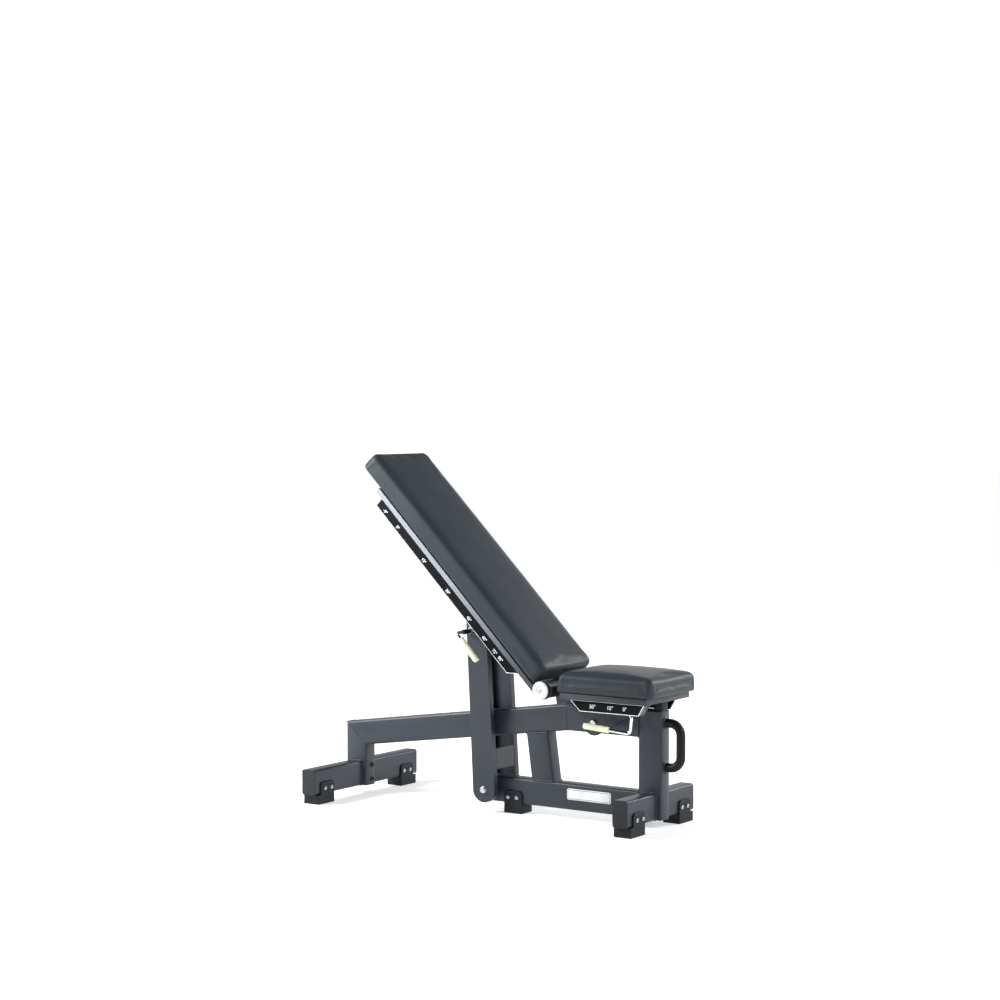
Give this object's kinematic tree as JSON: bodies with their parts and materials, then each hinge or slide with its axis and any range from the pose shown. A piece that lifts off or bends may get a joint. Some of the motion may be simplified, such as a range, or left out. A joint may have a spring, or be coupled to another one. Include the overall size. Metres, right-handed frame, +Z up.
{
  "type": "adjustable weight bench",
  "caption": "Adjustable weight bench with a reclining padded back held by a ladder prop, a tilting padded seat, and a welded tube frame on rubber feet.",
  "frame": {"origin": "on the floor under the middle of the bench, at rest", "axes": "+X towards the seat and carry handle end, +Y to the sitter's left, +Z up"},
  "size_m": [1.24, 0.5366, 1.0986],
  "materials": {
    "frame_paint": "satin powder coat",
    "black_plastic": "matte",
    "rubber": "matte",
    "white_plastic": "gloss",
    "zinc": "zinc plated",
    "chrome": "polished",
    "grip": "satin",
    "leather": "soft sheen",
    "board": "matte",
    "back_shell": "satin",
    "scale": "satin"
  },
  "bodies": {
    "bench_base": {"front_post": "frame_paint", "rear_post": "frame_paint", "spine_beam": "frame_paint", "head_beam": "frame_paint", "lower_beam": "frame_paint", "mid_brace": "frame_paint", "front_crossbar_near": "frame_paint", "front_crossbar_far": "frame_paint", "rear_crossbar_near": "frame_paint", "rear_crossbar_far": "frame_paint", "front_bar_cap_near": "black_plastic", "front_bar_cap_far": "black_plastic", "rear_bar_cap_near": "black_plastic", "rear_bar_cap_far": "black_plastic", "lower_beam_cap": "black_plastic", "foot_front_near": "rubber", "foot_front_far": "rubber", "foot_rear_near": "rubber", "foot_rear_far": "rubber", "foot_middle": "rubber", "hinge_bracket": "frame_paint", "hinge_tube": "frame_paint", "hinge_sleeve_near": "black_plastic", "hinge_sleeve_far": "black_plastic", "hinge_cap_near": "white_plastic", "hinge_cap_far": "white_plastic", "carry_handle": "black_plastic", "prop_axle": "zinc", "strut_bolt": "zinc", "seat_stop": "rubber", "label_plate": "white_plastic"},
    "hinge_bushes": {"hinge_bush_near": "black_plastic", "hinge_bush_far": "black_plastic"},
    "backrest": {"back_cushion": "leather", "back_board": "board", "back_rail_near": "scale", "back_rail_far": "scale", "back_side_bar_near": "back_shell", "back_side_bar_far": "back_shell"},
    "prop_spacers": {"prop_spacer_near": "black_plastic", "prop_spacer_far": "black_plastic"},
    "prop": {"prop_member_near": "frame_paint", "prop_member_far": "frame_paint", "prop_cross_plate": "frame_paint", "prop_latch_pin_near": "zinc", "prop_latch_pin_far": "zinc"},
    "back_lever": {"back_lever_rod": "chrome", "back_lever_grip": "grip"},
    "seat": {"seat_cushion": "leather", "seat_board": "board", "seat_rail_near": "scale", "seat_rail_far": "scale", "seat_arm_near": "frame_paint", "seat_arm_far": "frame_paint"},
    "seat_strut": {"strut_plate_near": "frame_paint", "strut_plate_far": "frame_paint", "strut_pin": "zinc"},
    "seat_lever": {"seat_lever_hub": "zinc", "seat_lever_rod": "chrome", "seat_lever_grip": "grip"}
  },
  "joints": [
    {"name": "backrest_recline", "type": "hinge", "parent": "bench_base", "child": "hinge_bushes", "pos_m": [0.209, 0, 0.402], "axis": [0, 1, 0], "range_deg": [-54, 0]},
    {"name": "backrest_raise", "type": "hinge", "parent": "hinge_bushes", "child": "backrest", "pos_m": [0.209, 0, 0.402], "axis": [0, 1, 0], "range_deg": [0, 40]},
    {"name": "prop_fold", "type": "hinge", "parent": "bench_base", "child": "prop_spacers", "pos_m": [-0.049, 0, 0.071], "axis": [0, 1, 0], "range_deg": [-71.6, 0]},
    {"name": "prop_follow", "type": "hinge", "parent": "prop_spacers", "child": "prop", "pos_m": [-0.049, 0, 0.071], "axis": [0, 1, 0], "range_deg": [0, 22.5]},
    {"name": "back_latch", "type": "hinge", "parent": "prop", "child": "back_lever", "pos_m": [-0.10115, 0, 0.55585], "axis": [0, -1, 0], "range_deg": [0, 15], "stiffness_Nm_per_rad": 1.5, "springref_deg": -17.19},
    {"name": "seat_tilt", "type": "hinge", "parent": "bench_base", "child": "seat", "pos_m": [0.209, 0, 0.402], "axis": [0, -1, 0], "range_deg": [0, 30]},
    {"name": "seat_strut_swing", "type": "hinge", "parent": "bench_base", "child": "seat_strut", "pos_m": [0.326, 0, 0.302], "axis": [0, -1, 0], "range_deg": [0, 51]},
    {"name": "seat_latch", "type": "hinge", "parent": "seat_strut", "child": "seat_lever", "pos_m": [0.462, 0, 0.358], "axis": [0, 1, 0], "range_deg": [0, 8], "stiffness_Nm_per_rad": 1.5, "springref_deg": -17.19}
  ],
  "couplings": [
    {"joint": "prop_fold", "follows": "backrest_recline", "ratio": 1.325},
    {"joint": "prop_follow", "follows": "backrest_raise", "ratio": 0.56},
    {"joint": "seat_strut_swing", "follows": "seat_tilt", "ratio": 1.7}
  ]
}
